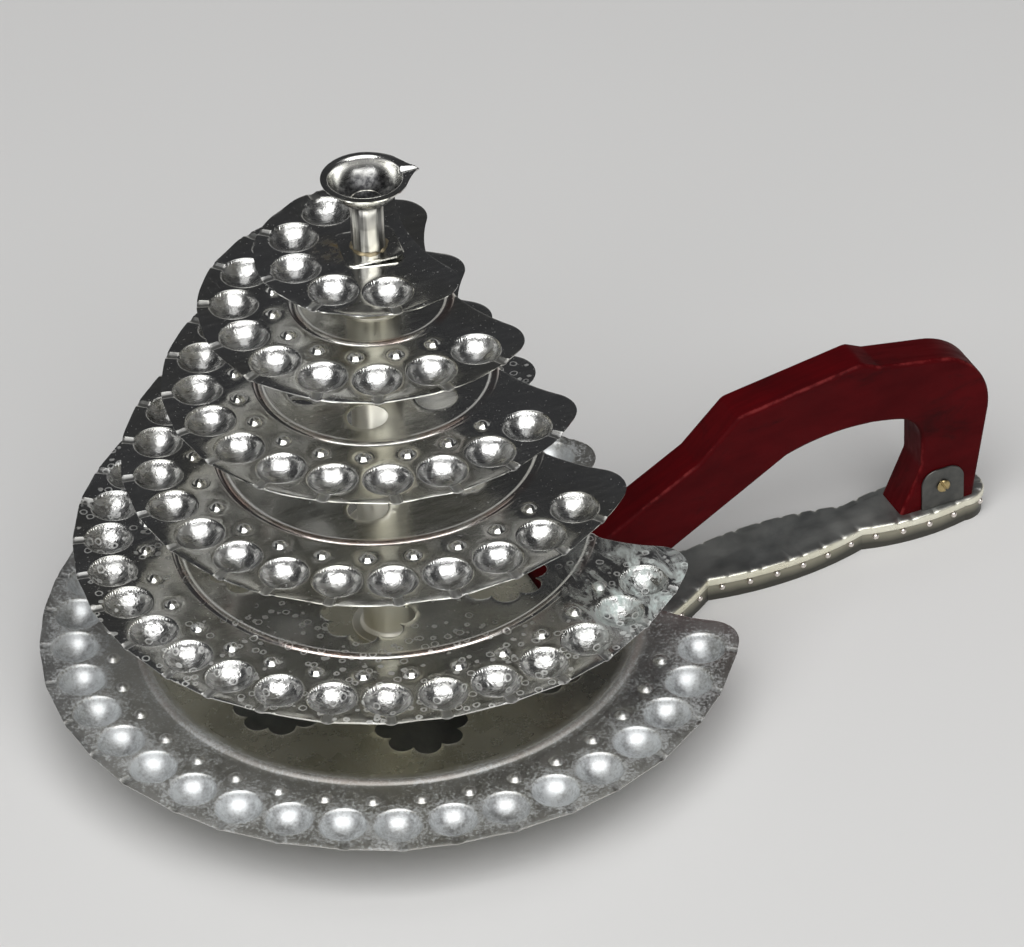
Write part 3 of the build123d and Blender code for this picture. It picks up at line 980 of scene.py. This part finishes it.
class Nodes:
    """The node tree of a material or world."""

    def __init__(self, owner):
        owner.use_nodes = True
        self.owner = owner
        self.tree = owner.node_tree

    def set(self, socket, value):
        """Links a field to a socket, or sets a plain value on it."""
        if isinstance(value, Field):
            self.tree.links.new(value.socket, socket)
        else:
            socket.default_value = value

    def add(self, kind, output, inputs=None, **settings):
        """One output of a new node."""
        node = self.tree.nodes.new(kind)
        for key, value in settings.items():
            setattr(node, key, value)
        for key, value in (inputs or {}).items():
            self.set(node.inputs[key], value)
        return Field(self, node.outputs[output])

    def maths(self, operation, first, second=0):
        """One sum of two values."""
        return self.add("ShaderNodeMath", "Value", {0: first, 1: second}, operation=operation)

    def place(self, seed=0, stretch=(1, 1, 1)):
        """Object coordinates in metres, moved by a seed."""
        inputs = {"Vector": self.add("ShaderNodeTexCoord", "Object"), "Scale": stretch}
        inputs["Location"] = (seed, 0.7 * seed, 1.3 * seed)
        return self.add("ShaderNodeMapping", "Vector", inputs)

    def mask(self, key):
        """A mask that the mesh carries."""
        return self.add("ShaderNodeAttribute", "Fac", attribute_name=key)

    def near_point(self, spot, reach, soft):
        """One near a point in millimetres, fading to nothing at the reach."""
        inputs = {0: self.add("ShaderNodeTexCoord", "Object"), 1: tuple(value * MM for value in spot)}
        distance = self.add("ShaderNodeVectorMath", "Value", inputs, operation="DISTANCE")
        return distance.fit((reach - soft) * MM, reach * MM, 1, 0)

    def finish(self, colour, metal, rough, normal=None, specular=0.5):
        """Feeds the material's shader and gives the material."""
        shader = self.tree.nodes["Principled BSDF"]
        inputs = {"Base Color": colour, "Metallic": metal, "Roughness": rough}
        inputs["Specular IOR Level"] = specular
        if normal is not None:
            inputs["Normal"] = normal
        for key, value in inputs.items():
            self.set(shader.inputs[key], value)
        return self.owner


def surface(name):
    """The nodes of a new material."""
    return Nodes(bpy.data.materials.new(name))


def water_marks(nodes, where, share):
    """Thin rings of dried drops, on a share of the surface."""
    cells = {"Vector": where, "Scale": 175, "Randomness": 0.75}
    distance = nodes.add("ShaderNodeTexVoronoi", "Distance", cells) + where.noise(500, 1) * 0.16
    drops = abs(distance - 0.38).fit(0.02, 0.075, 1, 0)
    return drops * where.noise(17, 2).fit(0.66 - share * 0.3, 0.72 - share * 0.3)


def copper_wear(nodes, where, strongest):
    """Where the bead's plating has worn through to copper."""
    return nodes.mask("on_bead") * where.noise(34, 3).fit(0.42, 0.6, 0.1, strongest)


def bright_plate(name, seed, marks=0, deposit=None, flux=None, soot=0, beaten=0.35):
    """Polished silver plate with painted shade in its cups and spouts, and drops, a deposit, burnt flux or
    soot where asked for.
    """
    nodes = surface(name)
    where = nodes.place(seed)
    wipes = nodes.place(seed, (1, 6, 1)).noise(70, 5)
    specks = where.noise(800, 2).fit(0.66, 0.78, 0, 0.5)
    cup = nodes.mask("near_cup").fit(*cup_edge)
    spout = nodes.mask("in_spout")
    colour = where.noise(13, 4).fit(0.46, 0.74).mix((0.80, 0.80, 0.775), (0.66, 0.645, 0.56))
    colour = specks.mix(colour, (0.62, 0.62, 0.6))
    colour = copper_wear(nodes, where, 0.8).mix(colour, copper)
    # Painted shade: the cups are darkened to dim what they reflect.
    colour = (cup * 0.8).mix(colour, (0.44, 0.44, 0.435))
    # Painted shade: the spout grooves are darkened to dim their highlights.
    colour = (spout * 0.6).mix(colour, (0.22, 0.22, 0.215))
    rough = wipes.fit(0.3, 0.8, 0.12, 0.25) + cup * 0.09
    if flux:
        burnt = nodes.near_point(flux, 14, 11) * where.noise(160, 5, 0.65).fit(0.42, 0.6, 0.1, 0.9)
        colour = burnt.mix(colour, flux_brown)
        rough = rough + burnt * 0.35
    if soot:
        flakes = where.noise(420, 4, 0.7).fit(0.38, 0.58, 0.8 * soot, soot)
        flakes = nodes.mask("near_cup") * flakes
        colour = flakes.mix(colour, soot_black)
        rough = rough + flakes * 0.12
    rough = rough + spout * 0.2
    if marks:
        drops = water_marks(nodes, where, marks)
        colour = (drops * 0.6).mix(colour, drop_white)
        rough = rough + drops * 0.4
    rough = rough + specks * 0.4
    metal = 1 - specks * 0.5
    if deposit:
        streaks = nodes.place(seed, (1, 0.45, 1)).noise(110, 7, 0.68, 1.2)
        crust = nodes.near_point(deposit, 50, 34) * streaks.fit(0.44, 0.62, 0, 0.88)
        colour = crust.mix(colour, deposit_green)
        metal = metal - crust * 0.8
        rough = rough + crust * 0.5
    dents = where.noise(48, 2).bump(0.5, 0.3)
    planish = (where.noise(330, 3) * cup).bump(0.9, beaten, dents)
    return nodes.finish(colour, metal, rough, where.noise(300, 3).bump(0.35, 0.05, planish))


def frosted_plate(seed):
    """Dull silver plate with painted shade in its cups and spouts, and a white film in the cups that breaks
    into specks.
    """
    nodes = surface("frosted_plate")
    where = nodes.place(seed)
    middle = (stack_x, 0, plate_tops[0])
    disc = nodes.near_point(middle, bead_circles[0] - 1, 5)
    bead = nodes.near_point(middle, bead_circles[0] + 5, 3) - disc
    cup = nodes.mask("near_cup").fit(*cup_edge)
    blotch = where.noise(45, 5, 0.6, 0.4)
    specks = where.noise(760, 4, 0.75)
    spread = cup.fit(0, 1, 9, 3.5)
    film = nodes.mask("near_cup") + bead * 0.5 + (blotch - 0.5) * 3 + (specks - 0.5) * spread
    film = film.fit(0.25, 1.35, 0, 0.62) * disc.fit(0, 1, 1, 0.25)
    stain = where.noise(22, 6, 0.65).fit(0.45, 0.7)
    colour = stain.mix((0.58, 0.575, 0.55), (0.45, 0.44, 0.40))
    colour = disc.mix(colour, (0.66, 0.64, 0.53))
    # Painted shade: the cups are darkened under their white film.
    colour = (cup * 0.7).mix(colour, (0.42, 0.43, 0.44))
    colour = film.mix(colour, (0.80, 0.83, 0.84))
    colour = copper_wear(nodes, where, 0.5).mix(colour, (0.50, 0.40, 0.35))
    # Painted shade: the spout grooves are darkened to dim their highlights.
    colour = (nodes.mask("in_spout") * 0.35).mix(colour, (0.2, 0.2, 0.195))
    rough = where.noise(60, 5).fit(0.3, 0.75, 0.34, 0.46) - disc * 0.12 + film * 0.12 + bead * 0.22
    grain = specks.bump(0.6, 0.12, where.noise(48, 2).bump(0.5, 0.3))
    return nodes.finish(colour, 1 - film * 0.5, rough, grain)


def column_metal(name, seed, painted_streaks=0):
    """Drawn tube: upright wipes on silver plate, with dark upright streaks as painted reflections where
    asked for.
    """
    nodes = surface(name)
    lines = nodes.place(seed, (1, 1, 0.06)).noise(500, 3)
    tarnish = nodes.place(seed).noise(26, 4).fit(0.45, 0.75)
    colour = tarnish.mix((0.88, 0.865, 0.79), (0.74, 0.70, 0.58))
    if painted_streaks:
        # Painted reflection: dark upright streaks stand in for the dark room mirrored in the tube.
        streaks = nodes.place(seed, (1, 1, 0.03)).noise(330, 2).fit(0.42, 0.58, 0.2, painted_streaks)
        colour = streaks.mix(colour, (0.12, 0.12, 0.12))
    return nodes.finish(colour, 1, lines.fit(0.3, 0.7, 0.28, 0.44), lines.bump(0.3, 0.03))


def base_metal():
    """Dull grey sheet, smudged on top; its folded edge is yellowish and painted much brighter as a painted
    highlight.
    """
    nodes = surface("base_metal")
    where = nodes.place(3)
    smudge = where.noise(20, 6, 0.62, 0.6).fit(0.35, 0.7)
    top = smudge.mix((0.26, 0.27, 0.265), (0.48, 0.485, 0.46))
    # Painted highlight: upright faces get a brighter, yellowish copy of the colour, picked by which way they
    # face.
    edge = smudge.mix((0.80, 0.77, 0.60), (0.93, 0.91, 0.78))
    side = abs(nodes.add("ShaderNodeNewGeometry", "Normal").axis("Z")).fit(0.5, 0.985, 1, 0)
    rough = where.noise(70, 5).fit(0.3, 0.7, 0.42, 0.58) - side * 0.2
    bumps = where.noise(60, 4).bump(0.5, 0.25)
    return nodes.finish(side.mix(top, edge), 1 - side * 0.3, rough, bumps)


def skirt_metal():
    """The strip under the lip: pale above, darker towards the floor as painted shade."""
    nodes = surface("skirt_metal")
    where = nodes.place(4)
    mottle = where.noise(60, 5)
    level = nodes.place().axis("Z") + (mottle - 0.5) * 0.004
    # Painted shade: the colour darkens towards the floor by height.
    colour = level.fit(0.003, 0.0075).mix((0.09, 0.088, 0.078), (0.36, 0.345, 0.275))
    bumps = where.noise(90, 3).bump(0.4, 0.15)
    return nodes.finish(colour, 1, mottle.fit(0.3, 0.7, 0.32, 0.5), bumps)


def painted_wood():
    """Deep red paint: brush marks, dark smudges, worn along the edges."""
    nodes = surface("painted_wood")
    brush = nodes.place(5, (0.1, 1, 0.35)).noise(320, 4)
    mottle = nodes.place(9).noise(26, 5, 0.6).fit(0.38, 0.72)
    smudge = nodes.place(2, (0.4, 1, 1)).noise(60, 7, 0.72, 0.8).fit(0.54, 0.68, 0, 0.75)
    colour = mottle.mix((0.072, 0.0012, 0.0025), (0.047, 0.0011, 0.002))
    colour = brush.fit(0.4, 0.68, 0, 0.5).mix(colour, (0.033, 0.0008, 0.0016))
    colour = smudge.mix(colour, (0.02, 0.0022, 0.0024))
    across = abs(nodes.add("ShaderNodeNewGeometry", "Normal").axis("Y"))
    chips = nodes.place(6).noise(90, 5, 0.7).fit(0.4, 0.62)
    worn = (across * (1 - across) * chips).fit(0.06, 0.24, 0, 0.6)
    colour = worn.mix(colour, (0.2, 0.025, 0.025))
    return nodes.finish(colour, 0, brush.fit(0.3, 0.7, 0.46, 0.64), brush.bump(0.4, 0.12), specular=0.06)


def plain_metal(name):
    """Mottled metal of a small fitting, from the table of fittings."""
    nodes = surface(name)
    colour, worn, rough, seed = fittings[name]
    where = nodes.place(seed)
    mixed = where.noise(120, 5).fit(0.4, 0.7).mix(colour, worn)
    shine = where.noise(200, 3).fit(0.3, 0.7, rough, rough + 0.14)
    return nodes.finish(mixed, 1, shine, where.noise(300, 3).bump(0.3, 0.05))


# The lamp

def on_plate(index, spot):
    """A point on one plate, from the stack's axis."""
    return stack_x + spot[0], spot[1], plate_tops[index]


def dress_stack():
    """The six lamp plates and their columns."""
    wear = {1: {"marks": 1, "deposit": on_plate(1, deposit_spot), "beaten": 0.65}}
    wear[5] = {"flux": on_plate(5, flux_spot)}
    for index, name in enumerate(plate_names):
        slot = "bright_plate" if index else "frosted_plate"
        if index:
            material = bright_plate(f"bright_plate_{index + 1}", 2 + index, **wear.get(index, {}))
        else:
            material = frosted_plate(1)
        dress(lamp_plate(index), material, "stand", slot, name)
    tube = column_metal("column_metal", 11)
    for name in column_names:
        low, high = node_box(name)
        foot = (high[0] - low[0]) / 2
        height = high[2] - low[2]
        profile = [(column_bore, 0), (foot, 0), (foot, foot_sheet), fillet_foot, (column_radius, fillet_top)]
        profile += [(column_radius, height), (column_bore, height)]
        piece = lathe(f"{name}_tube", rounded(profile, 0.5), ((low[0] + high[0]) / 2, 0, low[2]))
        dress(piece, tube, "stand", "column_metal", name)


def dress_crown():
    """The crown lamp, post, foot plate and braze."""
    metal = bright_plate("crown_metal", 17, soot=0.97, beaten=0.15)
    dress(crown_lamp(), metal, "crown", "crown_metal", "crown_lamp")
    dress(crown_post(), column_metal("post_metal", 12, 0.85), "crown", "crown_metal", "crown_post")
    dress(crown_flange(), metal, "crown", "crown_metal", "crown_flange")
    dress(crown_braze(), plain_metal("braze"), "crown", "crown_metal")


def paint_node(node, material):
    """Gives a CAD node that stays in view its material."""
    mesh = frame["nodes"][node].data
    mesh.materials.clear()
    mesh.materials.append(material)


def dress_base():
    """The base plate, skirt and beads."""
    dress(base_plate(), base_metal(), "stand", "base_metal", "base_plate")
    paint_node("base_skirt", skirt_metal())
    paint_node("skirt_studs", plain_metal("stud_metal"))


def dress_handle():
    """The handle with its bracket and screws, and the fittings in the stack."""
    paint_node("handle", painted_wood())
    grey = plain_metal("bracket_metal")
    dress(softened("heel_bracket", 0.25), grey, "stand", "bracket_metal", "heel_bracket")
    brass = plain_metal("fixing_brass")
    dress(screw_heads(), brass, "stand", "fixing_brass", "bracket_screws")
    dress(softened("crown_bush", 0.2), brass, "crown", "fixing_brass", "crown_bush")
    steel = plain_metal("fixing_steel")
    for node in ("tie_rod", "bottom_washer", "bottom_nut", "top_nut", "toe_screws", "heel_screws"):
        dress(softened(node, 0.25), steel, "stand", "fixing_steel", node)


# Studio

def floor():
    """A plain pale floor."""
    corners = [(floor_half * x, floor_half * y, 0) for x, y in ((-1, -1), (1, -1), (1, 1), (-1, 1))]
    piece = make_object("floor", corners, [(0, 1, 2, 3)], smooth=False)
    nodes = surface("floor")
    colour = nodes.place().noise(1.4, 3.0).mix((0.70, 0.695, 0.685), (0.74, 0.735, 0.725))
    piece.data.materials.append(nodes.finish(colour, 0.0, 0.7))


def softbox(name, turn, rise, distance, width, height, power):
    """A rectangular soft light aimed at the lamp, in metres and degrees."""
    light = bpy.data.lights.new(name, "AREA")
    light.shape = "RECTANGLE"
    light.size = width
    light.size_y = height
    light.energy = power
    turn, rise = radians(turn), radians(rise)
    target = Vector((stack_x * MM, 0, aim_height * MM))
    away = Vector((sin(turn) * cos(rise), -cos(turn) * cos(rise), sin(rise)))
    lamp = new_object(name, light)
    lamp.location = target + distance * away
    lamp.rotation_euler = (-away).to_track_quat("-Z", "Y").to_euler()


def world():
    """A plain studio room: pale low down, dark above."""
    room = bpy.data.worlds.new("studio")
    bpy.context.scene.world = room
    nodes = Nodes(room)
    height = nodes.add("ShaderNodeTexCoord", "Generated").axis("Z")
    colour = height.fit(0.02, 0.34).mix((0.66, 0.655, 0.645), (0.035, 0.0355, 0.038))
    nodes.set(room.node_tree.nodes["Background"].inputs["Color"], colour)


def camera():
    """The camera at the photograph's viewing angle."""
    yaw, pitch, roll = radians(camera_yaw), radians(camera_pitch), radians(camera_roll)
    forward = Vector((sin(yaw) * cos(pitch), cos(yaw) * cos(pitch), -sin(pitch)))
    level = Vector((cos(yaw), -sin(yaw), 0))
    upright = level.cross(forward)
    right = cos(roll) * level + sin(roll) * upright
    up = cos(roll) * upright - sin(roll) * level
    basis = Matrix((right, up, -forward)).transposed().to_4x4()
    spot = Matrix.Translation((0, -camera_back * MM, camera_height * MM))
    turn = Matrix.Rotation(radians(view_turn), 4, "Z")
    lens = bpy.data.cameras.new("camera")
    lens.lens = camera_lens
    eye = new_object("camera", lens)
    eye.matrix_world = Matrix.Translation((stack_x * MM, 0, 0)) @ turn @ spot @ basis
    bpy.context.scene.camera = eye


dress_stack()
dress_crown()
dress_base()
dress_handle()
floor()
world()
softbox("key", turn=view_turn, rise=55, distance=4.4, width=6.0, height=3.8, power=255.0)
softbox("top", turn=view_turn + 180, rise=80, distance=4.4, width=2.4, height=2.4, power=22.0)
camera()
bpy.context.scene.view_settings.view_transform = "Standard"
